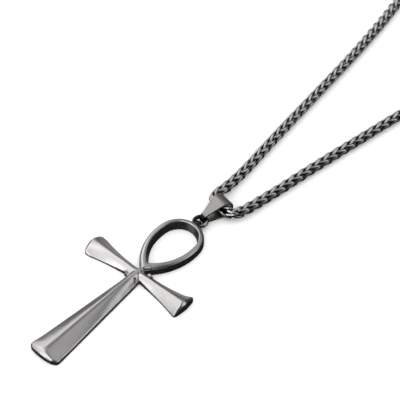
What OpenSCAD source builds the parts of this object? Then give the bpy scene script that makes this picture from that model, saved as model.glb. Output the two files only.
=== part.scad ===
// Ankh pendant lying on its back, with its folded bail and a closed wheat chain.
// Millimetres. X runs to the right arm, Y to the loop, Z up. The origin is on the back of the
// ankh, where the middle of the arms crosses the shaft.

/* [Shaft] */
// Length from the middle of the arms to the corners of the foot
shaft_len = 31.4; // [20:0.2:50]
// Width where the shaft leaves the arms
neck_w = 3.0; // [2:0.1:5]
// Width across the corners of the foot
foot_w = 8.6; // [5:0.1:14]
// How far the foot's end bows out past its corners
foot_bow = 0.55; // [0:0.05:1.2]
// Height of the shaft's ridge at the foot
foot_ridge_h = 2.3; // [1.6:0.1:3.5]
// Height of the shaft's side walls at the foot
foot_wall_h = 1.05; // [0.4:0.05:1.4]
// Length of the hip that slopes from the ridge to the end of the foot
foot_hip = 1.35; // [0.5:0.05:3]

/* [Arms] */
// Width of the ankh across the corners of both arms
arm_span = 28.8; // [20:0.2:44]
// Width of an arm where it leaves the shaft
arm_root_w = 2.3; // [1.8:0.1:4]
// Width across the corners of an arm's end
arm_tip_w = 7.2; // [4:0.1:12]
// How far an arm's end bows out past its corners
arm_bow = 0.5; // [0:0.05:1.2]
// Height of the dome at an arm's end
arm_tip_h = 2.8; // [1.6:0.1:4]
// Height of the side walls at an arm's end
arm_tip_wall_h = 0.55; // [0.3:0.05:1.2]
// Bevel between the dome and the end face of an arm
arm_bevel = 0.75; // [0.2:0.05:1.5]

/* [Loop] */
// Height of the loop and of the ridge at the crossing
body_h = 2.6; // [2:0.1:4]
// Width of the loop's band
band_w = 1.7; // [1.2:0.1:2.6]
// Height of the band's straight sides
band_wall_h = 1.95; // [1.2:0.05:1.95]
// Radius of the middle of the band round the top of the loop
loop_top_r = 5.15; // [4:0.05:8]
// Radius of the middle of the band down each side of the loop
loop_side_r = 14.3; // [12:0.1:20]
// From the middle of the arms to the outside of the loop's top
loop_h = 20.05; // [17:0.05:26]
// How much wider the band is where its two sides cross
band_spread = 0.65; // [0.2:0.05:1.2]

/* [Eyelet] */
// Outer diameter of the ring on top of the loop
eyelet_d = 4.0; // [3.6:0.1:5]
// Wire of that ring
eyelet_wire = 1.0; // [0.8:0.05:1]
// How deep the ring is sunk into the loop's top
eyelet_sink = 0.25; // [0.1:0.05:0.5]

/* [Bail] */
// Thickness of the bail's strip
strip_t = 0.5; // [0.4:0.05:0.55]
// Length from the middle of its fold round the eyelet to the middle of its fold round the chain
bail_len = 4.9; // [4.5:0.1:9]
// Width of the fold that holds the chain
bail_w = 4.2; // [3:0.1:4.4]
// Width above the eyelet
bail_shoulder_w = 1.7; // [1.2:0.1:2.4]
// Width inside the eyelet
bail_tip_w = 0.7; // [0.5:0.1:0.8]
// How far the bail leans to the right
bail_lean = 10; // [0:1:12]

/* [Chain] */
// Outer diameter of the wheat chain
chain_d = 2.8; // [2.2:0.1:2.9]

/* [Clasp] */
// Length of the barrel
clasp_len = 14; // [10:0.5:20]
// Diameter of the barrel
clasp_d = 4.6; // [4:0.1:6]
// Depth of the cup for each end of the chain
clasp_cup = 2.4; // [1.5:0.1:4]

/* [Clearances] */
// Between a round thing and what is folded or bored round it
fold_gap = 0.25; // [0.2:0.05:0.35]
// Between the chain and the fold that it passes through
chain_gap = 0.35; // [0.25:0.05:0.6]
// How far the chain lies back from the middle of that fold
chain_back = 0.3; // [0.2:0.05:0.35]
// Between the bail and the surface that the ankh lies on
rest_gap = 0.1; // [0.05:0.05:0.3]
// Between faces that end against each other
seat_gap = 0.1; // [0.05:0.05:0.3]

/* [Hidden] */
$fn = 64;
eps = 0.01;
far = 100;
dark_steel = "#8f8c89";
light_steel = "#c9c6c2";

// Along the shaft: share of its length, and heights as shares between neck and foot.
// The neck's walls are a share of the body's height.
neck_wall_share = 0.6;
shaft_steps = [0, 0.12, 0.3, 0.5, 0.7, 0.86];
neck_top = 0.8;
neck_sink = 0.4;
neck_taper = 0.72;
ridge_soft = 0.1;
roof_shares = [-1, -0.6, -0.25, -0.09, 0, 0.09, 0.25, 0.6, 1];
// How far the hip line stays from the foot's end at its corners, as a share of the hip
hip_corner = 0.3;
// Height of the foot's end face in its middle, as a share of the ridge there
foot_end_share = 0.84;

// Along an arm: share of half the span
arm_steps = [0, 0.08, 0.18, 0.3, 0.42, 0.54, 0.65, 0.75, 0.84, 0.91];
dome_steps = 12;
// Share of the flare that is straight, the rest grows with the square
flare_straight = 0.5;
arm_root_share = 0.9;
arm_root_wall_share = 0.6;
// How much of the bevel is left at the corners of an arm's end
bevel_corner = 0.35;
// The end faces of the arms and the foot are this share of the width just before them
end_share = 0.955;

// Band of the loop, over half its width and up to the body's height
band_shoulder = 0.6;
band_flat = 0.28;
band_crown = 0.12;
// The top arc gives way to the side arcs this far above its middle, in degrees
loop_turn = 7;
top_steps = 14;
side_steps = 14;

half_band = band_w / 2;
loop_mid_y = loop_h - half_band - loop_top_r;
side_mid_x = -(loop_side_r - loop_top_r) * cos(loop_turn);
side_mid_y = loop_mid_y - (loop_side_r - loop_top_r) * sin(loop_turn);
// How high the two sides cross, at a radius, and how far the shaft reaches up into them
function cross_y(r) = side_mid_y - sqrt(r * r - side_mid_x * side_mid_x);
shaft_tip_y = max(neck_top, mix(cross_y(loop_side_r + half_band), cross_y(loop_side_r), neck_sink));

eyelet_r = (eyelet_d - eyelet_wire) / 2;
eyelet_y = loop_h - eyelet_sink + eyelet_d / 2;
eyelet_z = body_h / 2;
hook_y = eyelet_y + eyelet_r;

// The two folds of the bail, seen from its side
hook_in = eyelet_wire / 2 + fold_gap;
hook_out = hook_in + strip_t;
fold_in = chain_d / 2 + chain_gap;
fold_out = fold_in + strip_t;
hook_z = max(eyelet_z, rest_gap + hook_out);
fold_z = rest_gap + fold_out;

// Route of the chain, from where it leaves the bail's fold to the clasp on each side.
// Each point is X, Y and the height above the surface less half the chain.
right_route = [
    [2.9, 27.7, 0.75], [4.0, 28.0, 0.7], [4.9, 28.8, 0.6], [5.5, 30.1, 0.5],
    [5.9, 32.1, 0.35], [6.3, 34.8, 0.2], [6.8, 38.4, 0.05], [7.5, 43, 0], [8.3, 49, 0],
    [10.0, 60, 0], [11.8, 71, 0], [13.1, 79, 0], [14.6, 87, 0], [16.3, 95.5, 0],
    [18.3, 104, 0], [20.4, 112.5, 0], [22.7, 121, 0], [25.1, 129.5, 0], [27.6, 138, 0],
    [30.2, 146.5, 0], [32.9, 155, 0], [35.7, 163.5, 0], [38.5, 172, 0], [41.3, 181, 0],
    [44.0, 190, 0], [46.4, 199, 0], [48.2, 208, 0], [49.3, 216, 0], [49.6, 224, 0],
    [48.9, 232, 0], [47.2, 240, 0], [44.4, 247.5, 0], [40.3, 254.5, 0.1], [34.9, 260.5, 0.3],
    [28.4, 264.8, 0.5], [21.0, 267.8, 0.8]
];
left_route = [
    [-1.2, 28.3, 0.75], [-2.1, 29.0, 0.7], [-2.5, 30.2, 0.6], [-2.5, 32.1, 0.5],
    [-2.5, 34.5, 0.3], [-2.7, 38, 0.1], [-3.2, 43, 0], [-4.1, 50, 0], [-5.3, 60, 0],
    [-6.5, 71, 0], [-7.7, 82, 0], [-8.7, 90.5, 0], [-9.9, 99, 0], [-11.3, 107.5, 0],
    [-13.0, 116, 0], [-14.9, 124.5, 0], [-17.0, 133, 0], [-19.3, 141.5, 0], [-21.7, 150, 0],
    [-25.5, 163, 0], [-29.2, 176, 0], [-31.7, 185, 0], [-34.0, 194, 0], [-35.9, 203, 0],
    [-37.3, 211.5, 0], [-38.0, 219.5, 0], [-38.1, 227.5, 0], [-37.2, 235, 0], [-35.3, 242.5, 0],
    [-32.2, 249.5, 0], [-27.9, 256, 0.1], [-22.2, 261.5, 0.3], [-15.2, 265.2, 0.5], [-7.8, 267.8, 0.8]
];
chain_sides = 8;
// Height of the chain in the fold, like the points above, and how far it runs straight there
fold_lift = 0.8;
fold_straight = 0.9;
clasp_x = 6;
clasp_y = 269;
clasp_wall = 0.5;

function mix(a, b, t) = a + (b - a) * t;
function roof(s) = (norm([1, ridge_soft]) - norm([s, ridge_soft])) / (norm([1, ridge_soft]) - ridge_soft);
function dome(s) = 1 - s * s;

// A cast relief with a flat back: a grid of points whose rim drops straight to the surface.
// The grid runs along first and then across, and along turned left is across.
module relief(grid) {
    n = len(grid) - 1;
    m = len(grid[0]) - 1;
    at = m + 1;
    top = [for (row = grid) for (p = row) p];
    rim = concat([for (i = [0:n]) i * at], [for (j = [1:m]) n * at + j],
        [for (i = [n - 1:-1:0]) i * at + m], [for (j = [m - 1:-1:1]) j]);
    base = len(top);
    count = len(rim);
    foot = [for (r = rim) [top[r].x, top[r].y, 0]];
    skin = [for (i = [0:n - 1]) for (j = [0:m - 1])
        let (a = i * at + j, b = a + 1, c = a + at, d = c + 1)
            for (f = [[a, b, d], [a, d, c]]) f];
    walls = [for (k = [0:count - 1])
        let (next = (k + 1) % count) [rim[k], rim[next], base + next, base + k]];
    // The back is a strip between its two long edges, with a fan at each end
    left = [for (i = [0:n]) base + i];
    right = [for (i = [0:n]) base + 2 * n + m - i];
    near = concat([left[0]], [for (j = [1:m - 1]) base + 2 * (n + m) - j], [right[0]]);
    fans = [for (j = [0:m - 1])
        for (f = [[left[1], near[j + 1], near[j]], [left[n - 1], base + n + j, base + n + j + 1]]) f];
    strip = [for (i = [1:n - 2])
        for (f = [[left[i], left[i + 1], right[i + 1]], [left[i], right[i + 1], right[i]]]) f];
    ends = [[left[1], right[1], right[0]], [left[n - 1], right[n], right[n - 1]]];
    polyhedron(concat(top, foot), concat(skin, walls, fans, strip, ends), convexity = 6);
}

// One point of the shaft, at a share down its length and a share across it
function shaft_point(t, s, y, lift) =
    let (wall = mix(body_h * neck_wall_share, foot_wall_h, t), ridge = mix(body_h, foot_ridge_h, t))
        [mix(neck_w, foot_w, t) / 2 * s, y, wall + (ridge * lift - wall) * roof(s)];

module shaft() {
    tip = [for (s = roof_shares)
        let (p = shaft_point(0, s, shaft_tip_y, 1)) [p.x * neck_taper, p.y, p.z]];
    body = [for (t = shaft_steps) [for (s = roof_shares) shaft_point(t, s, -shaft_len * t, 1)]];
    hip = [for (s = roof_shares)
        let (back = foot_hip * mix(1, hip_corner, abs(s)), bow = foot_bow * (1 - s * s) * 0.3)
            shaft_point(1 - back / shaft_len, s, -shaft_len + back - bow, 1)];
    end = [for (s = roof_shares)
        let (p = shaft_point(1, s, -shaft_len - foot_bow * (1 - s * s), foot_end_share))
            [p.x * end_share, p.y, p.z]];
    relief(concat([tip], body, [hip, end]));
}

// One point of the arms, at a share of half the span and a share across, the end bowed by bow
function arm_point(t, s, bow, drop) =
    let (a = abs(t), grow = mix(a * a, a, flare_straight),
        half = mix(arm_root_w, arm_tip_w, grow) / 2,
        wall = mix(arm_tip_wall_h, body_h * arm_root_wall_share, (1 - a) * (1 - a)),
        peak = mix(body_h * arm_root_share, arm_tip_h, a * a))
        [sign(t) * (arm_span / 2 * a + bow * (1 - s * s)), half * s,
            wall + (peak - wall) * dome(s) * (1 - drop)];

module arms() {
    shares = [for (j = [0:dome_steps]) -cos(180 * j / dome_steps)];
    rim = arm_bevel / (arm_span / 2);
    drop = arm_bevel / arm_tip_h;
    steps = [for (t = arm_steps) if (t < 1 - rim - 0.02) t];
    out = concat(
        [for (t = steps) [for (s = shares) arm_point(t, s, arm_bow * pow(t, 4), 0)]],
        [[for (s = shares) arm_point(1 - rim * mix(1, bevel_corner, abs(s)), s, arm_bow, 0)]],
        [[for (s = shares) let (p = arm_point(1, s, arm_bow, drop)) [p.x, p.y * end_share, p.z]]]);
    back = [for (i = [len(out) - 1:-1:1]) [for (p = out[i]) [-p.x, p.y, p.z]]];
    relief(concat(back, out));
}

// The right half of the loop, from the middle of its top to where the two halves cross
module loop_half() {
    edge = body_h - band_crown;
    band = [[-1, band_wall_h], [-band_shoulder, edge], [-band_flat, body_h],
        [band_flat, body_h], [band_shoulder, edge], [1, band_wall_h]];
    top = [for (i = [0:top_steps])
        let (a = mix(90, loop_turn, i / top_steps)) [for (b = band)
            let (r = loop_top_r + half_band * b.x) [r * cos(a), loop_mid_y + r * sin(a), b.y]]];
    side = [for (i = [1:side_steps])
        let (t = i / side_steps) [for (b = band)
            let (spread = b.x < 0 ? band_spread * pow(t, 3) : 0,
                r = loop_side_r + half_band * b.x - spread,
                a = mix(loop_turn, -acos(-side_mid_x / r), t))
                [i == side_steps ? 0 : side_mid_x + r * cos(a), side_mid_y + r * sin(a), b.y]]];
    relief(concat(top, side));
}

module eyelet() {
    translate([0, eyelet_y, eyelet_z]) rotate_extrude() translate([eyelet_r, 0]) circle(d = eyelet_wire);
}

module ankh() {
    color(light_steel) union() {
        shaft();
        arms();
        loop_half();
        mirror([1, 0, 0]) loop_half();
        eyelet();
    }
}

// The bail's outline from its side: two rounds and the straight strip between them
module wedge(hook, fold) {
    run = [bail_len, fold_z - hook_z];
    tilt = atan2(run.y, run.x);
    spread = acos((hook - fold) / norm(run));
    above = [cos(tilt + spread), sin(tilt + spread)];
    below = [cos(tilt - spread), sin(tilt - spread)];
    translate([0, hook_z]) circle(hook);
    translate([bail_len, fold_z]) circle(fold);
    polygon([[0, hook_z] + hook * above, [0, hook_z] + hook * below,
        [bail_len, fold_z] + fold * below, [bail_len, fold_z] + fold * above]);
}

module bail_plan() {
    tip = bail_tip_w / 2;
    shoulder = bail_shoulder_w / 2;
    wide = bail_w / 2;
    clear = eyelet_wire / 2;
    end = bail_len + fold_out + eps;
    polygon([[-hook_out - eps, -tip], [-clear, -tip], [clear, -shoulder], [bail_len, -wide],
        [end, -wide], [end, wide], [bail_len, wide], [clear, shoulder], [-clear, tip],
        [-hook_out - eps, tip]]);
}

module bail() {
    color(dark_steel) translate([0, hook_y, 0]) rotate([0, 0, 90 - bail_lean]) intersection() {
        translate([0, bail_w, 0]) rotate([90, 0, 0]) linear_extrude(2 * bail_w) difference() {
            wedge(hook_out, fold_out);
            wedge(hook_in, fold_in);
        }
        linear_extrude(far) bail_plan();
    }
}

// A tube through the points of a route, with a ring square to it at each
function along(path, i) =
    let (a = path[max(i - 1, 0)], b = path[min(i + 1, len(path) - 1)]) (b - a) / norm(b - a);

module tube(path, d) {
    last = len(path) - 1;
    rings = [for (i = [0:last])
        let (dir = along(path, i), side = cross([0, 0, 1], dir), right = side / norm(side),
            up = cross(dir, right))
            for (k = [0:chain_sides - 1])
                let (a = 360 * k / chain_sides)
                    path[i] + d / 2 * (right * sin(a) - up * cos(a))];
    skin = [for (i = [0:last - 1]) for (k = [0:chain_sides - 1])
        let (next = (k + 1) % chain_sides, a = i * chain_sides + k, b = i * chain_sides + next,
            c = a + chain_sides, e = b + chain_sides)
            for (f = [[a, c, e], [a, e, b]]) f];
    near = [for (k = [0:chain_sides - 1]) k];
    end = [for (k = [chain_sides - 1:-1:0]) last * chain_sides + k];
    polyhedron(rings, concat(skin, [near, end]), convexity = 6);
}

// The route with its start in the fold and its end in the clasp's cup, side is 1 or -1
in_fold = bail_len - chain_back;
fold_mid = [in_fold * sin(bail_lean), hook_y + in_fold * cos(bail_lean), fold_lift];
function lay(route, side) = let (rest = [0, 0, chain_d / 2],
    across = side * [cos(bail_lean), -sin(bail_lean), 0],
    start = fold_mid + across * seat_gap / 2,
    in_cup = clasp_len / 2 - clasp_cup + seat_gap,
    mouth = [clasp_x + side * (clasp_len / 2 + 1), clasp_y, clasp_d / 2],
    end = [clasp_x + side * in_cup, clasp_y, clasp_d / 2])
    concat([start + rest, start + across * fold_straight + rest], [for (p = route) p + rest], [mouth, end]);

module chain_right() {
    color(dark_steel) tube(lay(right_route, 1), chain_d);
}

module chain_left() {
    color(dark_steel) tube(lay(left_route, -1), chain_d);
}

module clasp() {
    bore = chain_d / 2 + fold_gap;
    mouth_r = bore + clasp_wall;
    half = clasp_len / 2;
    shoulder = half - clasp_cup;
    color(light_steel) translate([clasp_x, clasp_y, clasp_d / 2]) rotate([0, 90, 0]) difference() {
        rotate_extrude() polygon([[0, -half], [mouth_r, -half], [mouth_r, -shoulder],
            [clasp_d / 2, -shoulder + clasp_wall], [clasp_d / 2, shoulder - clasp_wall],
            [mouth_r, shoulder], [mouth_r, half], [0, half]]);
        translate([0, 0, shoulder]) cylinder(h = clasp_cup + eps, r = bore);
        translate([0, 0, -half - eps]) cylinder(h = clasp_cup + eps, r = bore);
    }
}

ankh();
bail();
chain_left();
chain_right();
clasp();
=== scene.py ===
import math

import bpy
import numpy as np
from mathutils import Matrix, Vector, noise


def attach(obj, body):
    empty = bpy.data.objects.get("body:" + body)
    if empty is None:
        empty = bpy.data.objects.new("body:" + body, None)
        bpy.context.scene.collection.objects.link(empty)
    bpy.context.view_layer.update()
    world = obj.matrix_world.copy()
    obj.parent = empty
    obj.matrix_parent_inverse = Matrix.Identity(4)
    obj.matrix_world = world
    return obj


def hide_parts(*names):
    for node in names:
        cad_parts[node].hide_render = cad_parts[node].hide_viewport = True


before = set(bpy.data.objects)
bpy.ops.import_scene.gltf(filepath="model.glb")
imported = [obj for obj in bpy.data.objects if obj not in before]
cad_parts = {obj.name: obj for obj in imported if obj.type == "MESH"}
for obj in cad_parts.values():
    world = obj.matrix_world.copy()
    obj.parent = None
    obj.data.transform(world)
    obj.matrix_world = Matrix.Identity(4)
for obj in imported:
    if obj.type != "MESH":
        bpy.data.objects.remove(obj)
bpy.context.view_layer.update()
scene = bpy.context.scene
mm = 0.001  # all the sizes below are in millimetres


# helpers

def mix(a, b, t):
    return a + (b - a) * t


def smoothStep(a, b, x):
    t = np.clip((x - a) / (b - a), 0, 1)
    return t * t * (3 - 2 * t)


def hexToLinear(code):  # sRGB hex colour as linear RGBA
    parts = [int(code[i:i + 2], 16) / 255 for i in (1, 3, 5)]
    return tuple(c / 12.92 if c <= 0.04045 else ((c + 0.055) / 1.055) ** 2.4 for c in parts) + (1,)


# a socket is picked by its name, or by its place where names repeat: 1 to 4 of Map Range are the
# range that it takes and the range that it gives
def addNode(tree, kind, settings=None, links=None):
    node = tree.nodes.new(kind)
    for name, value in (settings or {}).items():
        if isinstance(name, int) or name in node.inputs:
            node.inputs[name].default_value = value
        else:
            setattr(node, name, value)
    for name, source in (links or {}).items():
        tree.links.new(source, node.inputs[name])
    return node


def meshPiece(name, verts, faces, material=None):
    mesh = bpy.data.meshes.new(name)
    mesh.from_pydata(np.asarray(verts, float).tolist(), [], [list(map(int, f)) for f in faces])
    mesh.shade_smooth()
    piece = bpy.data.objects.new(name, mesh)
    scene.collection.objects.link(piece)
    if material:
        mesh.materials.append(material)
    return piece


def toMetres(piece):
    piece.data.transform(Matrix.Scale(mm, 4))
    return piece


def setOxideAndShade(piece, values):  # how dark each point is, from 0 to 1: oxide in the pits, and painted shade round the eyelet, on the bail's hook and between the chain's links
    layer = piece.data.attributes.new("oxideAndShade", "FLOAT", "POINT")
    layer.data.foreach_set("value", np.asarray(values, np.float32))


def applyModifiers(piece):
    shape = piece.evaluated_get(bpy.context.evaluated_depsgraph_get())
    mesh = bpy.data.meshes.new_from_object(shape)
    piece.modifiers.clear()
    piece.data = mesh


def smoothing(piece, name, times, group=""):
    smooth = piece.modifiers.new(name, "SMOOTH")
    smooth.factor, smooth.iterations, smooth.vertex_group = 0.5, times, group


def pointData(mesh, name):
    values = np.zeros(len(mesh.vertices) * 3, np.float32)
    mesh.vertices.foreach_get(name, values)
    return values.reshape(-1, 3)


def unit(vectors):
    return vectors / np.linalg.norm(vectors, axis=-1, keepdims=True)


def distances(line):  # how far along the line each of its points is
    return np.concatenate([[0], np.cumsum(np.linalg.norm(np.diff(line, axis=0), axis=1))])


def pointsAt(places, far, line):  # points of the line at these distances along it
    return np.stack([np.interp(places, far, line[:, i]) for i in range(3)], 1)


def ringFaces(rings, around):  # skin of a tube that is closed on itself
    faces = []
    for i in range(rings):
        for j in range(around):
            i2, j2 = (i + 1) % rings, (j + 1) % around
            faces.append((i * around + j, i * around + j2, i2 * around + j2, i2 * around + j))
    return faces


# camera, at the photograph's viewing angle

camera = {
    "azimuth": 41.83,
    "elevation": 47.95,
    "aim": (14.42, 18.02),  # to the right and up from the origin, seen by the camera
    "distance": 437.4,
    "lens": 168.9,
    "sensor": 36,
    "clip": (0.01, 50),  # metres
}


def makeCamera():
    a, e = math.radians(camera["azimuth"]), math.radians(camera["elevation"])
    right = Vector((math.cos(a), math.sin(a), 0))
    back = Vector((math.sin(a) * math.cos(e), -math.cos(a) * math.cos(e), math.sin(e)))
    up = back.cross(right)
    aimX, aimY = camera["aim"]
    place = right * aimX + up * aimY + back * camera["distance"]
    view = bpy.data.cameras.new("camera")
    view.lens, view.sensor_width = camera["lens"], camera["sensor"]
    view.clip_start, view.clip_end = camera["clip"]
    holder = bpy.data.objects.new("camera", view)
    turned = Matrix((right, up, back)).transposed().to_4x4()
    holder.matrix_world = Matrix.Translation(place * mm) @ turned
    scene.collection.objects.link(holder)
    scene.camera = holder


makeCamera()
print("camera placed")


# studio: a pale floor inside a light tent, whose panels show in the polished steel

tent = {
    "tint": "#fffeff",
    "daylight": 1.4,  # what falls on the floor
    # the bare tent as the steel mirrors it: brightness low and high, and the heights between them
    "below": 0.02,
    "above": 0.095,
    "heights": (-0.15, 0.3),
    # each panel's direction (0 is +X, 90 is +Y) and elevation, the angles from its middle to which
    # it is fully bright and at which it is gone, and its brightness
    "panels": [
        (-127, 23, 19, 66, 0.42),
        (-126, 46, 3, 47, 0.86),
        (-110, 52, 3, 15, 0.4),
        (3, 29, 3, 12, 0.5),
        (175, 61, 10, 20, 0.5),
        (172, 43, 5, 17, 0.7),
        (158, 27, 11, 20, 0.82),
        (150, 47, 5, 30, 0.2),
        (26, 24, 4, 21, 1.05),
        (-75, 62, 3, 12, 4.0),
        (-112, 12, 5, 16, 1.5),
        (68, 54, 6, 32, 0.31),
        (149, 0, 16, 57, 0.15),
        (122, -18, 8, 34, 0.22),
        (99, 64, 13, 45, 0.2),
    ],
}


def makeWorld():
    world = bpy.data.worlds.new("light tent")
    world.use_nodes = True
    tree = world.node_tree
    tree.nodes.clear()
    direction = addNode(tree, "ShaderNodeTexCoord").outputs["Generated"]
    height = addNode(tree, "ShaderNodeSeparateXYZ", links={0: direction}).outputs["Z"]
    low, high = tent["heights"]
    total = addNode(tree, "ShaderNodeMapRange", {
        "interpolation_type": "SMOOTHSTEP", 1: low, 2: high, 3: tent["below"], 4: tent["above"]},
        {0: height}).outputs[0]
    for turn, rise, inner, outer, level in tent["panels"]:
        a, e = math.radians(turn), math.radians(rise)
        toPanel = (math.cos(a) * math.cos(e), math.sin(a) * math.cos(e), math.sin(e))
        near = addNode(tree, "ShaderNodeVectorMath", {"operation": "DOT_PRODUCT", 1: toPanel},
                       {0: direction}).outputs["Value"]
        glow = addNode(tree, "ShaderNodeMapRange", {
            "interpolation_type": "SMOOTHSTEP", 1: math.cos(math.radians(outer)),
            2: math.cos(math.radians(inner)), 3: 0, 4: level}, {0: near}).outputs[0]
        total = addNode(tree, "ShaderNodeMath", {"operation": "ADD"}, {0: total, 1: glow}).outputs[0]
    seen = addNode(tree, "ShaderNodeBackground", {"Color": hexToLinear(tent["tint"])},
                   {"Strength": total}).outputs[0]
    plain = addNode(tree, "ShaderNodeBackground",
                    {"Color": (1, 1, 1, 1), "Strength": tent["daylight"]}).outputs[0]
    polished = addNode(tree, "ShaderNodeLightPath").outputs["Is Glossy Ray"]
    both = addNode(tree, "ShaderNodeMixShader", links={0: polished, 1: plain, 2: seen}).outputs[0]
    addNode(tree, "ShaderNodeOutputWorld", links={"Surface": both})
    world.cycles.sampling_method = "NONE"  # the tent is smooth, so plain sampling has no noise
    scene.world = world
    scene.view_settings.view_transform = "Standard"


# uncoated white card, pressed smooth: matt, almost even, with no shine of its own
card = {
    "half": 3000, "drop": 0.02,  # how far it reaches, and how far it lies under the chain
    "roughness": 0.9, "specular": 0.1, "tones": (0.955, 0.965),
    "fibre": 1.1,  # real fibres are too fine to show, so they are drawn about 1 mm long
}


def makeFloor():
    material = bpy.data.materials.new("matt white card")
    material.use_nodes = True
    tree = material.node_tree
    shader = tree.nodes["Principled BSDF"]
    shader.inputs["Roughness"].default_value = card["roughness"]
    shader.inputs["Specular IOR Level"].default_value = card["specular"]
    spot = addNode(tree, "ShaderNodeTexCoord").outputs["Object"]
    fibre = addNode(tree, "ShaderNodeTexNoise", {"Scale": 1 / (card["fibre"] * mm), "Detail": 2},
                    {"Vector": spot}).outputs["Fac"]
    low, high = card["tones"]
    tone = addNode(tree, "ShaderNodeMapRange", {3: low, 4: high}, {0: fibre}).outputs[0]
    colour = addNode(tree, "ShaderNodeCombineColor", links={0: tone, 1: tone, 2: tone}).outputs[0]
    tree.links.new(colour, shader.inputs["Base Color"])
    half, z = card["half"], -card["drop"]
    corners = [(-half, -half, z), (half, -half, z), (half, half, z), (-half, half, z)]
    floor = toMetres(meshPiece("floor", corners, [(0, 1, 2, 3)], material))
    floor.visible_glossy = False  # the steel mirrors the tent, as on a stand of dark glass


makeWorld()
makeFloor()
print("studio built")


# steels: two tones, roughness, and the size, depth and stretch of the surface's grain
# the scratches of a real polish are about 0.02 mm wide, too fine to show, so the grain is coarser

finishes = {
    # cast stainless, tumbled and hand polished: soft bright facets, grey oxide left in the pits; the same
    # dark tone paints shade round the eyelet
    "castStainless": {"colour": "#c8c6c5", "dark": "#3a3938", "roughness": (0.17, 0.27),
                      "grain": 0.25, "bump": 0.012, "stretch": (1, 1, 1)},
    # rolled stainless strip, brushed along its length: fine lines, duller than the cast body; the same
    # dark tone paints shade on the hook in the eyelet
    "rolledStainless": {"colour": "#9b9996", "dark": "#1c1b1a", "roughness": (0.26, 0.38),
                        "grain": 0.12, "bump": 0.01, "stretch": (1, 0.12, 1)},
    # drawn stainless wire, tumbled: small sharp glints, and near black painted shade between the links
    "drawnStainless": {"colour": "#dbd9d8", "dark": "#0f0e0e", "roughness": (0.05, 0.1),
                       "grain": 0.3, "bump": 0.008, "stretch": (1, 1, 1)},
    # turned stainless rod, polished on the lathe: even, with rings too fine to see as lines
    "turnedStainless": {"colour": "#c7c6c4", "dark": "#77746f", "roughness": (0.14, 0.22),
                        "grain": 0.15, "bump": 0.006, "stretch": (0.1, 1, 1)},
}
polish = {
    "patch": 2.5,  # the wheel leaves duller and brighter patches of this size
    "patchRange": (0.3, 0.7),  # the noise at the brightest and at the dullest
    "stain": 0.12,  # how much of the dark tone stays between the grains
    "stainRange": (0.25, 0.8),  # the noise where it is clean and where it is stained
    "relief": 0.6,
}


def steel(name):
    finish = finishes[name]
    material = bpy.data.materials.new(name)
    material.use_nodes = True
    tree = material.node_tree
    shader = tree.nodes["Principled BSDF"]
    shader.inputs["Metallic"].default_value = 1
    spot = addNode(tree, "ShaderNodeTexCoord").outputs["Object"]
    along = addNode(tree, "ShaderNodeMapping", {"Scale": finish["stretch"]}, {"Vector": spot}).outputs[0]
    grain = addNode(tree, "ShaderNodeTexNoise",
                    {"Scale": 1 / (finish["grain"] * mm), "Detail": 3}, {"Vector": along}).outputs["Fac"]
    cloud = addNode(tree, "ShaderNodeTexNoise", {"Scale": 1 / (polish["patch"] * mm), "Detail": 2},
                    {"Vector": spot}).outputs["Fac"]
    bright, dull = polish["patchRange"]
    low, high = finish["roughness"]
    rough = addNode(tree, "ShaderNodeMapRange", {1: bright, 2: dull, 3: low, 4: high},
                    {0: cloud}).outputs[0]
    tree.links.new(rough, shader.inputs["Roughness"])
    # the dark tone: oxide in the ankh's pits, and painted shade in the eyelet, on the bail's hook and
    # between the chain's links
    oxideAndShadeMask = addNode(tree, "ShaderNodeAttribute", {"attribute_name": "oxideAndShade"}).outputs["Fac"]
    clean, stained = polish["stainRange"]
    stain = addNode(tree, "ShaderNodeMapRange",
                    {1: clean, 2: stained, 3: 0, 4: polish["stain"]}, {0: grain}).outputs[0]
    total = addNode(tree, "ShaderNodeMath", {"operation": "ADD", "use_clamp": True},
                    {0: oxideAndShadeMask, 1: stain}).outputs[0]
    colour = addNode(tree, "ShaderNodeMix", {"data_type": "RGBA", 6: hexToLinear(finish["colour"]),
                     7: hexToLinear(finish["dark"])}, {0: total}).outputs[2]
    tree.links.new(colour, shader.inputs["Base Color"])
    bump = addNode(tree, "ShaderNodeBump",
                   {"Strength": polish["relief"], "Distance": finish["bump"] * mm},
                   {"Height": grain}).outputs[0]
    tree.links.new(bump, shader.inputs["Normal"])
    return material


steels = {name: steel(name) for name in finishes}
print("steels:", ", ".join(steels))


# ankh: relief grids joined into one casting

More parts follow.
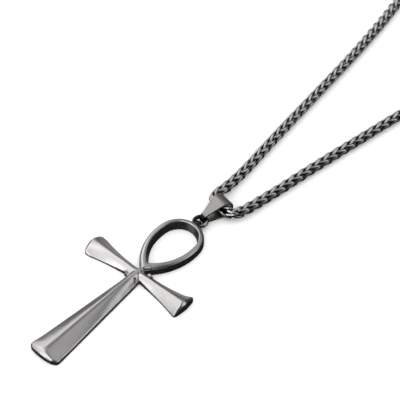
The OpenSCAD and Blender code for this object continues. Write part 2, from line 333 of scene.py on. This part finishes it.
ankh = {
    "height": 2.6, "voxel": 0.125, "softening": 8,
    # shaft: its length to the corners of the foot, its widths, and the heights of ridge and walls
    "shaftLength": 31.4, "shaftTip": 1.24, "neckWidth": 3.0, "neckTaper": 0.72, "footWidth": 8.6,
    "footRidge": 2.3, "leftWall": (0.85, 0.85), "rightWall": (1.15, 1.05),
    "leftRound": (1.5, 1.22), "rightRound": (1.6, 1.15),  # how domed each slope is, at neck and foot
    # along the shaft, from 0 to 1: where the left slope and the walls change, the last row before the hip
    "leftTurn": (0.5, 0.9), "wallTurn": (0.85, 1), "hipFrom": 0.94,
    "ridgeSoft": 0.14, "bevelWidth": 0.34, "bevelDrop": 0.4,
    # foot: its hipped end, which the wheel wore round from 1.6 mm before the corners
    "footBow": 0.55, "hipBow": 0.3, "footWall": 1.25, "footHip": 1.2, "hipCorner": 0.3,
    "footFall": 0.6, "footCurve": 2.6, "footCorners": (0.85, 1.15), "footSoftening": 40,
    "footWorn": (1.6, 0.4),
    # arms: widths at root and tip, dome height, side walls, and how domed at root and tip
    "armSpan": 28.8, "armRoot": 2.3, "armTip": 7.2, "armStraight": 0.6, "armBow": 0.5,
    "armRootPeak": 0.9, "armPeak": 2.8, "armRootWall": 0.6, "armTipWall": 0.45,
    "armRound": (1.18, 1.9), "armBevel": 0.65, "armDrop": 0.75, "bevelCorner": 0.3,
    "bendFrom": 0.88, "lipFrom": 0.84,  # along the arm, from 0 to 1: last row before the bevel, the lip
    # left arm and right arm: corner radius, how far the bevel widens and the lip curls up there
    "armEnds": [(0.95, 0, 0), (0.55, 0.4, 0.75)],
    # loop: its section from the inner side to the outer one, with height, drafted and leaning out
    "bandWidth": 1.7,
    "band": [(-1, 0.15), (-0.42, 2.46), (-0.2, 2.6), (0.35, 2.47), (0.68, 2.34), (1, 1.98)],
    "topRadius": 5.15, "sideRadius": 14.3, "loopTop": 20.05, "loopTurn": 7, "bandSpread": 0.65,
    "eyeletY": 21.8, "eyeletRadius": 1.5, "eyeletWire": 1.0,
    # crossing: worn round from the first distance, fully at the second, above these heights
    "crossingY": 0.8, "crossing": (3.4, 1.6), "crossingHeights": (0.4, 1.2), "crossingSoftening": 40,
    # small pits and lumps that the casting kept: place, radius, depth; place, half size; the last lump
    # fills the lower half of the eyelet's hole and, under the painted shade there, stands in for the
    # shadow in the hole
    "pits": [(0.85, -1.9, 0.3, 0.25), (1.2, -2.3, 0.2, 0.2), (1.85, -2.1, 0.3, 0.3),
             (3.0, -1.95, 0.38, 0.3), (-2.35, -1.5, 0.3, 0.15)],
    "lumps": [((2.45, 1.45, 0.9), (0.75, 0.5, 0.95)), ((-2.3, -1.55, 0.9), (0.6, 0.5, 0.9)),
              ((0, 20.95, 1.0), (1.05, 0.85, 0.9))],
    "lumpSwell": 0.25, "lumpDetail": 1.7,  # how uneven a lump is, and how finely
    # dark tone: oxide in the pits, painted shade round the eyelet except on its lit right side, and a
    # faint darker band along the ridge
    "front": (0.3, 1.0), "pitOxide": 0.7, "pitSpread": 0.6,
    "eyeletShade": 0.95, "eyeletReach": (2.15, 1.9), "eyeletBright": (1.5, 0.9),
    "ridgeDarkening": 0.3, "ridgeReach": (0.55, 0.15), "ridgeX": 0.1, "ridgeTop": (-2.6, -4),
    "ridgeEnd": (-30.2, -29.6),
    "waveLength": 1.6, "waveDepth": 0.012,  # faint waves of polishing by hand
}


def roof(s, power):  # a soft ridge between two slopes, more domed with a higher power
    low, here, top = (math.hypot(x, ankh["ridgeSoft"]) ** power for x in (0, s, 1))
    return (top - here) / (top - low)


def dome(s):
    return 1 - s * s


def relief(rows):  # closed block under a grid of points, down to the flat back
    rows = np.array(rows, float)
    n, m = rows.shape[:2]
    top = rows.reshape(-1, 3)
    verts = np.concatenate([top, top * (1, 1, 0)])
    count = n * m
    faces = []
    for i in range(n - 1):
        for j in range(m - 1):
            a = i * m + j
            b = count + a
            faces += [(a, a + 1, a + m + 1, a + m), (b, b + m, b + m + 1, b + 1)]
    rim = [i * m for i in range(n)] + [(n - 1) * m + j for j in range(1, m)]
    rim += [i * m + m - 1 for i in range(n - 2, -1, -1)] + list(range(m - 2, 0, -1))
    for a, b in zip(rim, rim[1:] + rim[:1]):
        faces.append((a, b, count + b, count + a))
    return verts, faces


def roundCorners(rows, axis, half, radii):  # both corners in plan, where the rows along the axis end
    side = 1 - axis
    out = []
    for row in rows:
        out.append([])
        for p, last in zip(row, rows[-1]):
            p = list(p)
            radius = radii[p[side] > 0]
            depth = max(0, radius - abs(p[axis] - last[axis])) / radius
            over = abs(p[side]) - (half - radius)
            if over > 0:
                reach = half - radius + over * math.sqrt(max(0, 1 - depth * depth))
                p[side] = math.copysign(reach, p[side])
            out[-1].append(p)
    return out


def between(first, second, times, power):  # rows from one to another, steeper later with a higher power
    return [[(mix(p[0], q[0], t), mix(p[1], q[1], t), mix(p[2], q[2], t ** power))
             for p, q in zip(first, second)] for t in times]


def shaftRows():
    k = ankh
    length = k["shaftLength"]
    # the points across lie closer together near the ridge
    across = [math.copysign(abs(s) ** 1.3, s) for s in np.linspace(-1, 1, 57)] + [1.25, 1.5, 1.75, 2]

    def point(t, s, y, lift):  # past 1 is the bevel along the right edge
        bevel, s = max(0, s - 1), min(s, 1)
        half = mix(k["neckWidth"], k["footWidth"], t) / 2 - (k["bevelWidth"] if s > 0 else 0)
        ridge = mix(k["height"], k["footRidge"], t)
        if s < 0:
            wall, power = mix(*k["leftWall"], t), mix(*k["leftRound"], smoothStep(*k["leftTurn"], t))
        else:
            wall, power = mix(*k["rightWall"], t), mix(*k["rightRound"], t)
        wall = mix(wall, k["footWall"], smoothStep(*k["wallTurn"], t))
        z = wall + (ridge * lift - wall) * roof(s, power)
        return (half * s + k["bevelWidth"] * bevel, y, z - k["bevelDrop"] * bevel)

    tip = [(x * k["neckTaper"], y, z) for x, y, z in (point(0, s, k["shaftTip"], 1) for s in across)]
    body = [[point(t, s, -length * t, 1) for s in across] for t in np.linspace(0, k["hipFrom"], 48)]
    hip, end = [], []
    for s in across:
        back = k["footHip"] * mix(1, k["hipCorner"], min(1, abs(s)))
        bow = k["footBow"] * dome(min(s, 1))
        hip.append(point(1 - back / length, s, -length + back - bow * k["hipBow"], 1))
        end.append(point(1, s, -length - bow, k["footFall"]))
    foot = body[-6:] + between(body[-1], hip, np.linspace(0, 1, 7)[1:-1], 1)
    foot += between(hip, end, np.linspace(0, 1, 12), k["footCurve"])
    return [tip] + body[:-6] + roundCorners(foot, 1, k["footWidth"] / 2, k["footCorners"])


def armRows(corner, flare, lip):
    k = ankh
    reach = k["armSpan"] / 2
    across = [-math.cos(math.pi * j / 36) for j in range(37)]

    def point(a, s, bow, fall):
        half = mix(k["armRoot"], k["armTip"], mix(a ** 3, a, k["armStraight"])) / 2
        wall = mix(k["armTipWall"], k["height"] * k["armRootWall"], (1 - a) ** 3)
        peak = mix(k["height"] * k["armRootPeak"], k["armPeak"], a * a)
        rise = roof(abs(s), mix(*k["armRound"], a ** 9))
        z = wall + (peak - wall) * rise - fall * mix(k["bevelCorner"], 1, dome(s))
        curl = lip * smoothStep(k["lipFrom"], 1, a) * max(0, s) ** 6
        return (reach * a + bow * dome(s), half * s, z + curl)

    rows = [[point(a, s, k["armBow"] * a ** 4, 0) for s in across]
            for a in np.linspace(0, k["bendFrom"], 34)]
    bevel = [(k["armBevel"] * mix(1, k["bevelCorner"], s * s) + flare * max(0, s) ** 3) / reach
             for s in across]
    bend = [[point(1 - back * (1 - u), s, k["armBow"], k["armDrop"] * u)
             for s, back in zip(across, bevel)] for u in np.linspace(0, 1, 10)]
    return rows + roundCorners(bend, 0, k["armTip"] / 2, (corner, corner))


def armsRows():
    left, right = (armRows(*end) for end in ankh["armEnds"])
    return [[(-x, y, z) for x, y, z in row] for row in left[:0:-1]] + right


def loopRows(side):
    k = ankh
    half = k["bandWidth"] / 2
    turn = math.radians(k["loopTurn"])
    midY = k["loopTop"] - half - k["topRadius"]
    gap = k["sideRadius"] - k["topRadius"]
    sideX, sideY = -gap * math.cos(turn), midY - gap * math.sin(turn)
    knee, lift = zip(*k["band"])
    across = np.linspace(-1, 1, 27)
    band = list(zip(across, np.interp(across, knee, lift)))
    rows = []
    for a in np.linspace(math.pi / 2, turn, 60):
        row = [(k["topRadius"] + half * b, z) for b, z in band]
        rows.append([(r * math.cos(a), midY + r * math.sin(a), z) for r, z in row])
    for t in np.linspace(0, 1, 61)[1:]:
        row = []
        for b, z in band:
            r = k["sideRadius"] + half * b - (k["bandSpread"] * t ** 3 if b < 0 else 0)
            a = mix(turn, -math.acos(-sideX / r), t)
            row.append((sideX + r * math.cos(a), sideY + r * math.sin(a), z))
        rows.append(row)
    return [[(x * side, y, z) for x, y, z in row] for row in rows]


def torus(centre, radius, wire, around=64, ring=24):
    verts, faces = [], []
    for i in range(around):
        a = 2 * math.pi * i / around
        for j in range(ring):
            b = 2 * math.pi * j / ring
            r = radius + wire / 2 * math.cos(b)
            verts.append((centre[0] + r * math.cos(a), centre[1] + r * math.sin(a),
                          centre[2] + wire / 2 * math.sin(b)))
            i2, j2 = (i + 1) % around, (j + 1) % ring
            faces.append((i * ring + j, i2 * ring + j, i2 * ring + j2, i * ring + j2))
    return verts, faces


def lump(centre, size, rings=12, around=20):
    verts, faces = [], []
    for i in range(rings + 1):
        for j in range(around):
            a, b = math.pi * i / rings, 2 * math.pi * j / around
            d = Vector((math.sin(a) * math.cos(b), math.sin(a) * math.sin(b), math.cos(a)))
            swell = 1 + ankh["lumpSwell"] * noise.noise(d * ankh["lumpDetail"] + Vector(centre))
            verts.append([c + w * x * swell for c, w, x in zip(centre, size, d)])
            if i < rings:
                here, below, j2 = i * around, (i + 1) * around, (j + 1) % around
                faces.append((here + j, below + j, below + j2, here + j2))
    return verts, faces


def castParts():  # all the parts in one skin, with tumbled edges
    k = ankh
    parts = [relief(shaftRows()), relief(armsRows()), relief(loopRows(1)), relief(loopRows(-1)),
             torus((0, k["eyeletY"], k["height"] / 2), k["eyeletRadius"], k["eyeletWire"])]
    parts += [lump(*place) for place in k["lumps"]]
    verts, faces = [], []
    for v, f in parts:
        faces += [[i + len(verts) for i in face] for face in f]
        verts += [tuple(p) for p in v]
    piece = meshPiece("castAnkh", verts, faces)
    remesh = piece.modifiers.new("union", "REMESH")
    remesh.mode, remesh.voxel_size, remesh.use_smooth_shade = "VOXEL", k["voxel"], True
    smoothing(piece, "tumbled edges", k["softening"])
    applyModifiers(piece)
    return piece


def wearDown(piece):  # the foot's end and the crossing, rounded by the wheel
    k = ankh
    foot = piece.vertex_groups.new(name="foot")
    crossing = piece.vertex_groups.new(name="crossing")
    first, full = (back - k["shaftLength"] for back in k["footWorn"])
    for v in piece.data.vertices:
        near = smoothStep(first, full, v.co.y)
        if near > 0:
            foot.add([v.index], near, "REPLACE")
        near = smoothStep(*k["crossing"], math.hypot(v.co.x, v.co.y - k["crossingY"]))
        near *= smoothStep(*k["crossingHeights"], v.co.z)
        if near > 0:
            crossing.add([v.index], near, "REPLACE")
    smoothing(piece, "worn foot", k["footSoftening"], "foot")
    smoothing(piece, "worn crossing", k["crossingSoftening"], "crossing")
    applyModifiers(piece)


def finishSkin(piece):  # pits with oxide, painted shade round the eyelet, a faint darker band along the ridge, and faint waves
    k = ankh
    mesh = piece.data
    co, normal = pointData(mesh, "co").astype(float), pointData(mesh, "normal")
    front = smoothStep(*k["front"], co[:, 2])
    oxideAndShade = np.zeros(len(co))
    for x, y, radius, depth in k["pits"]:
        near = np.exp(-((co[:, 0] - x) ** 2 + (co[:, 1] - y) ** 2) / (radius * k["pitSpread"]) ** 2)
        co[:, 2] -= near * depth * front
        oxideAndShade = np.maximum(oxideAndShade, near * front * k["pitOxide"])
    ring = np.hypot(co[:, 0], co[:, 1] - k["eyeletY"])
    paintedShade = smoothStep(*k["eyeletReach"], ring) * smoothStep(*k["eyeletBright"], co[:, 0])
    oxideAndShade = np.maximum(oxideAndShade, paintedShade * k["eyeletShade"])  # painted shade in and round the eyelet, kept off its lit right side
    ridge = smoothStep(*k["ridgeReach"], np.abs(co[:, 0] - k["ridgeX"]))
    ridge = ridge * smoothStep(*k["ridgeTop"], co[:, 1]) * smoothStep(*k["ridgeEnd"], co[:, 1])
    oxideAndShade = np.maximum(oxideAndShade, ridge * front * k["ridgeDarkening"])  # a faint darker band along the top
    wave = np.array([noise.noise(Vector(p) / k["waveLength"]) for p in co])
    co += normal * (wave * k["waveDepth"] * front)[:, None]
    mesh.vertices.foreach_set("co", co.astype(np.float32).ravel())
    setOxideAndShade(piece, oxideAndShade)
    mesh.update()


def makeAnkh():
    piece = castParts()
    wearDown(piece)
    finishSkin(piece)
    piece.data.materials.append(steels["castStainless"])
    piece.data.shade_smooth()
    toMetres(piece)
    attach(piece, "root")
    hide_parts("ankh")
    print("ankh:", len(piece.data.polygons), "faces")


makeAnkh()


# bail: a strip folded round the chain, its narrow end through the eyelet

bail = {
    "strip": 0.5, "length": 4.9, "lean": 10, "hookY": 23.3, "restGap": 0.1,
    "hookInner": 0.75, "foldInner": 1.75, "hookHeight": 1.35,
    # half widths, at distances from the eyelet's wire
    "plan": [(-1.3, 0.52), (-0.8, 0.54), (-0.45, 0.8), (0.5, 0.9), (1.5, 1.18), (4.9, 2.1), (7.2, 2.1)],
    "corner": 0.13, "cornerSteps": 4,
    "hookShade": (-0.1, -0.5),  # painted shade from here on, where the hook lies in the eyelet's shadow
}


def bailLine():  # middle of the strip seen from its side, as one closed line
    k = bail
    hook, fold = k["hookInner"] + k["strip"] / 2, k["foldInner"] + k["strip"] / 2
    hookZ, foldZ = k["hookHeight"], k["restGap"] + fold + k["strip"] / 2
    run, rise = k["length"], foldZ - hookZ
    tilt = math.atan2(rise, run)
    spread = math.acos((hook - fold) / math.hypot(run, rise))
    low, high = tilt - spread, tilt + spread
    roundFold = [(run + fold * math.cos(a), foldZ + fold * math.sin(a))
                 for a in np.linspace(high, low, 40)]
    roundHook = [(hook * math.cos(a), hookZ + hook * math.sin(a))
                 for a in np.linspace(low, high - 2 * math.pi, 24)]
    line = []
    for bend, after in ((roundFold, roundHook), (roundHook, roundFold)):
        (x0, z0), (x1, z1) = bend[-1], after[0]
        line += bend + [(mix(x0, x1, t), mix(z0, z1, t)) for t in np.linspace(0, 1, 16)[1:-1]]
    return np.array(line)


def makeBail():
    k = bail
    line = bailLine()
    ahead = unit(np.roll(line, -1, 0) - np.roll(line, 1, 0))
    outward = np.stack([-ahead[:, 1], ahead[:, 0]], 1)
    c, s = math.cos(math.radians(k["lean"])), math.sin(math.radians(k["lean"]))
    places, halves = zip(*k["plan"])
    corner = k["corner"]
    profile = []
    for quarter, (sx, sz) in enumerate(((1, 1), (-1, 1), (-1, -1), (1, -1))):
        for step in range(k["cornerSteps"] + 1):
            a = math.radians(90 * (quarter + step / k["cornerSteps"]))
            profile.append((sx, sz, corner * math.cos(a), corner * math.sin(a)))
    verts = []
    for (v, z), (nv, nz) in zip(line, outward):
        half = np.interp(v, places, halves)
        for sx, sz, cx, cz in profile:
            w = sx * (half - corner) + cx
            t = sz * (k["strip"] / 2 - corner) + cz
            pv = v + nv * t
            verts.append((pv * s + w * c, k["hookY"] + pv * c - w * s, z + nz * t))
    faces = ringFaces(len(line), len(profile))
    piece = meshPiece("foldedBail", verts, faces, steels["rolledStainless"])
    # painted shade on the hook where it lies in the eyelet
    setOxideAndShade(piece, smoothStep(*k["hookShade"], np.repeat(line[:, 0], len(profile))))
    toMetres(piece)
    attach(piece, "root")
    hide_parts("bail")
    print("bail:", len(faces), "faces")


makeBail()


# wheat chain: two families of bent oval links, each passed through the ends of the one before

chain = {
    "diameter": 2.8, "wire": 0.75, "pitch": 2.87, "segments": 36, "sides": 8, "firstLink": 0.45,
    "step": 0.2, "ironing": 6,  # between the points of a strand's line, and how often it is evened
    "startTurn": 8, "twist": 0.4,  # degrees, and degrees for each millimetre along the strand
    "foldMiddle": (0.799, 27.830, 0.8), "foldGap": 0.1,  # where the strands meet, and the gap there
    "cupGap": 0.1,  # from a strand's end to the bottom of its cup in the clasp
    "straight": (0.9, 1),  # how far a strand runs straight out of the bail and out of the clasp
    "polished": (1.12, 0.9),  # painted shade between the links, by distance from the chain's middle: where it ends and where it is full
    # one arm of a link: along the chain, out to its corner, to the side, and how thick the wire is
    "arm": [(-0.5, 0, 0.25, 0.7), (-0.1, 0.19, 0.4, 0.9), (0.35, 0.42, 0.48, 1), (0.8, 0.62, 0.47, 1),
            (1.3, 0.81, 0.4, 1), (1.9, 0.95, 0.29, 1), (2.5, 1.02, 0.16, 1), (2.9, 1.04, 0, 0.95)],
}
# each strand's route from the bail to the clasp, the same as the solid's: X, Y and how far it is lifted
rightRoute = [
    (2.9, 27.7, 0.75), (4.0, 28.0, 0.7), (4.9, 28.8, 0.6), (5.5, 30.1, 0.5), (5.9, 32.1, 0.35),
    (6.3, 34.8, 0.2), (6.8, 38.4, 0.05), (7.5, 43, 0), (8.3, 49, 0), (10.0, 60, 0), (11.8, 71, 0),
    (13.1, 79, 0), (14.6, 87, 0), (16.3, 95.5, 0), (18.3, 104, 0), (20.4, 112.5, 0), (22.7, 121, 0),
    (25.1, 129.5, 0), (27.6, 138, 0), (30.2, 146.5, 0), (32.9, 155, 0), (35.7, 163.5, 0),
    (38.5, 172, 0), (41.3, 181, 0), (44.0, 190, 0), (46.4, 199, 0), (48.2, 208, 0), (49.3, 216, 0),
    (49.6, 224, 0), (48.9, 232, 0), (47.2, 240, 0), (44.4, 247.5, 0), (40.3, 254.5, 0.1),
    (34.9, 260.5, 0.3), (28.4, 264.8, 0.5), (21.0, 267.8, 0.8),
]
leftRoute = [
    (-1.2, 28.3, 0.75), (-2.1, 29.0, 0.7), (-2.5, 30.2, 0.6), (-2.5, 32.1, 0.5), (-2.5, 34.5, 0.3),
    (-2.7, 38, 0.1), (-3.2, 43, 0), (-4.1, 50, 0), (-5.3, 60, 0), (-6.5, 71, 0), (-7.7, 82, 0),
    (-8.7, 90.5, 0), (-9.9, 99, 0), (-11.3, 107.5, 0), (-13.0, 116, 0), (-14.9, 124.5, 0),
    (-17.0, 133, 0), (-19.3, 141.5, 0), (-21.7, 150, 0), (-25.5, 163, 0), (-29.2, 176, 0),
    (-31.7, 185, 0), (-34.0, 194, 0), (-35.9, 203, 0), (-37.3, 211.5, 0), (-38.0, 219.5, 0),
    (-38.1, 227.5, 0), (-37.2, 235, 0), (-35.3, 242.5, 0), (-32.2, 249.5, 0), (-27.9, 256, 0.1),
    (-22.2, 261.5, 0.3), (-15.2, 265.2, 0.5), (-7.8, 267.8, 0.8),
]


def catmull(points, steps):  # smooth line through points
    p = np.array(points, float)
    p = np.vstack([2 * p[0] - p[1], p, 2 * p[-1] - p[-2]])
    out = []
    for i in range(1, len(p) - 2):
        knots = [0]
        for j in range(3):
            knots.append(knots[-1] + max(np.linalg.norm(p[i + j] - p[i + j - 1]), 1e-6) ** 0.5)
        for t in np.linspace(knots[1], knots[2], steps, endpoint=False):
            level = p[i - 1:i + 3]
            for gap, left in ((1, 0), (2, 0), (1, 1)):
                level = [((knots[left + j + gap] - t) * a + (t - knots[left + j]) * b)
                         / (knots[left + j + gap] - knots[left + j])
                         for j, (a, b) in enumerate(zip(level, level[1:]))]
            out.append(level[0])
    out.append(p[-2])
    return np.array(out)


def strandLine(route, side):  # close points from the fold to the clasp, and the distance along them
    k = chain
    lean = math.radians(bail["lean"])
    across = np.array([math.cos(lean), -math.sin(lean), 0]) * side
    start = np.array(k["foldMiddle"]) + across * k["foldGap"] / 2
    fromBail, fromClasp = k["straight"]
    x, y = clasp["place"]
    half, lift = clasp["length"] / 2, (clasp["diameter"] - k["diameter"]) / 2
    mouth = (x + side * (half + fromClasp), y, lift)
    end = (x + side * (half - clasp["cup"] + k["cupGap"]), y, lift)
    line = catmull([start, start + across * fromBail] + list(route) + [mouth, end], 12)
    far = distances(line)
    even = np.arange(0, far[-1], k["step"])
    line = pointsAt(even, far, line)
    for _ in range(k["ironing"]):
        line[1:-1] = (line[:-2] + 2 * line[1:-1] + line[2:]) / 4
    return even, line


def linkShape():  # closed wire of one link, in the chain's directions: along, outward, sideways
    k = chain
    arm = k["arm"] + [(x, a, -b, r) for x, a, b, r in k["arm"][-2::-1]]
    p = np.array(arm[:-1] + [(x, -a, -b, r) for x, a, b, r in arm[:-1]], float)
    steps, spare = 10, 3  # drawn past both its ends, so that it closes smoothly
    closed = catmull(np.vstack([p[-spare:], p, p[:spare + 1]]), steps)
    closed = closed[spare * steps:(spare + len(p)) * steps]
    closed = np.vstack([closed, closed[:1]])
    far = distances(closed[:, :3])
    even = np.linspace(0, far[-1], k["segments"], endpoint=False)
    line = pointsAt(even, far, closed)
    thick = np.interp(even, far, closed[:, 3]) * k["wire"] / 2
    ahead = unit(np.roll(line, -1, 0) - np.roll(line, 1, 0))
    normal = np.cross(ahead[0], (0, 0, 1.0))
    normals = []
    for way in ahead:
        normal = unit(normal - way * (normal @ way))
        normals.append(normal)
    last = unit(normal - ahead[0] * (normal @ ahead[0]))
    slip = math.atan2(np.cross(normals[0], last) @ ahead[0], normals[0] @ last)
    verts = []
    n, m = len(line), k["sides"]
    for i in range(n):
        binormal = np.cross(ahead[i], normals[i])
        for j in range(m):
            a = 2 * math.pi * j / m - slip * i / n
            verts.append(line[i] + (normals[i] * math.cos(a) + binormal * math.sin(a)) * thick[i])
    return np.array(verts), np.array(ringFaces(n, m))


def makeStrand(name, node, route, side):
    k = chain
    far, line = strandLine(route, side)
    ahead = unit(np.gradient(line, axis=0))
    left = unit(np.cross((0, 0, 1.0), ahead))
    up = np.cross(ahead, left)
    turn = np.radians(k["startTurn"] + 45 + k["twist"] * far)
    corner = k["diameter"] / 2
    shape, faces = linkShape()
    # how far a link reaches down at each turn, so that the strand rests where it isn't lifted
    angles = np.linspace(0, 2 * math.pi, 121)
    low = [max(np.abs(shape[:, 1] * math.sin(a) + shape[:, 2] * math.cos(a)).max(),
               np.abs(shape[:, 2] * math.sin(a) - shape[:, 1] * math.cos(a)).max()) for a in angles]
    support = np.interp(turn % (2 * math.pi), angles, low)
    resting = np.clip(1 - line[:, 2] / k["foldMiddle"][2], 0, 1)
    centre = line.copy()
    centre[:, 2] += corner - (corner - support) * resting
    outA = left * np.cos(turn)[:, None] + up * np.sin(turn)[:, None]
    outB = up * np.cos(turn)[:, None] - left * np.sin(turn)[:, None]
    # painted shade: near black on the wire deep between the links, none on its outer faces
    paintedShade = smoothStep(*k["polished"], np.hypot(shape[:, 1], shape[:, 2]))
    reach = shape[:, 0].max()
    verts, allFaces = [], []
    place, count = k["firstLink"], 0
    while place + reach < far[-1]:
        s = place + shape[:, 0]
        middle, wayA, wayB = (pointsAt(s, far, points) for points in (centre, outA, outB))
        a, b = (shape[:, 1], shape[:, 2]) if count % 2 == 0 else (shape[:, 2], -shape[:, 1])
        verts.append(middle + wayA * a[:, None] + wayB * b[:, None])
        allFaces.append(faces + count * len(shape))
        place += k["pitch"] / 2
        count += 1
    piece = meshPiece(name, np.concatenate(verts), np.concatenate(allFaces), steels["drawnStainless"])
    setOxideAndShade(piece, np.tile(paintedShade, count))
    toMetres(piece)
    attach(piece, "root")
    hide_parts(node)
    print(name + ":", count, "links,", 2 * len(piece.data.polygons), "triangles")


# clasp: a turned barrel with a cup for each end of the chain

clasp = {
    "place": (6, 269), "length": 14, "diameter": 4.6, "cup": 2.4, "bore": 1.65, "collar": 2.15,
    "bottomBevel": 0.1, "mouthBevel": 0.12,
    "around": 64, "sharp": 35,  # edges over this many degrees stay sharp
    # from the collar up to the barrel: how far towards the mouth from the cup's bottom, and how high
    "shoulder": [(0.15, 0), (0, 0.02), (-0.4, 0.12), (-0.5, 0.15)],
    # half of a turned groove: how far from its middle, and how deep
    "groove": [(0.35, 0), (0.25, 0.04), (0.1, 0.16)], "groovePlace": 1.95,
}


def makeClasp():
    k = clasp
    half, bottom, outer = k["length"] / 2, k["length"] / 2 - k["cup"], k["diameter"] / 2
    bore, collar, inner, edge = k["bore"], k["collar"], k["bottomBevel"], k["mouthBevel"]
    place, groove = k["groovePlace"], k["groove"]
    # the turned outline from a cup's bottom, a hair off the axis, to the middle: along, and outward
    profile = [(bottom, 0.001), (bottom, bore - inner), (bottom + inner, bore), (half - edge, bore),
               (half, bore + edge), (half, collar - edge), (half - edge, collar)]
    profile += [(bottom + along, collar + up) for along, up in k["shoulder"]]
    profile += [(place + along, outer - deep) for along, deep in groove]
    profile += [(place - along, outer - deep) for along, deep in groove[::-1]]
    profile += [(-x, r) for x, r in profile[::-1]]
    verts, faces = [], []
    n = len(profile)
    middleX, middleY = k["place"]
    for i in range(k["around"]):
        a = 2 * math.pi * i / k["around"]
        for x, r in profile:
            verts.append((middleX + x, middleY + r * math.cos(a), outer + r * math.sin(a)))
        for j in range(n - 1):
            b = ((i + 1) % k["around"]) * n + j
            faces.append((i * n + j, b, b + 1, i * n + j + 1))
    faces.append([i * n for i in range(k["around"])][::-1])
    faces.append([i * n + n - 1 for i in range(k["around"])])
    piece = meshPiece("turnedClasp", verts, faces, steels["turnedStainless"])
    edges = piece.modifiers.new("edges", "EDGE_SPLIT")
    edges.split_angle = math.radians(k["sharp"])
    applyModifiers(piece)
    toMetres(piece)
    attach(piece, "root")
    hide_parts("clasp")
    print("clasp:", len(faces), "faces")


makeStrand("wheatChainRight", "chain_right", rightRoute, 1)
makeStrand("wheatChainLeft", "chain_left", leftRoute, -1)
makeClasp()
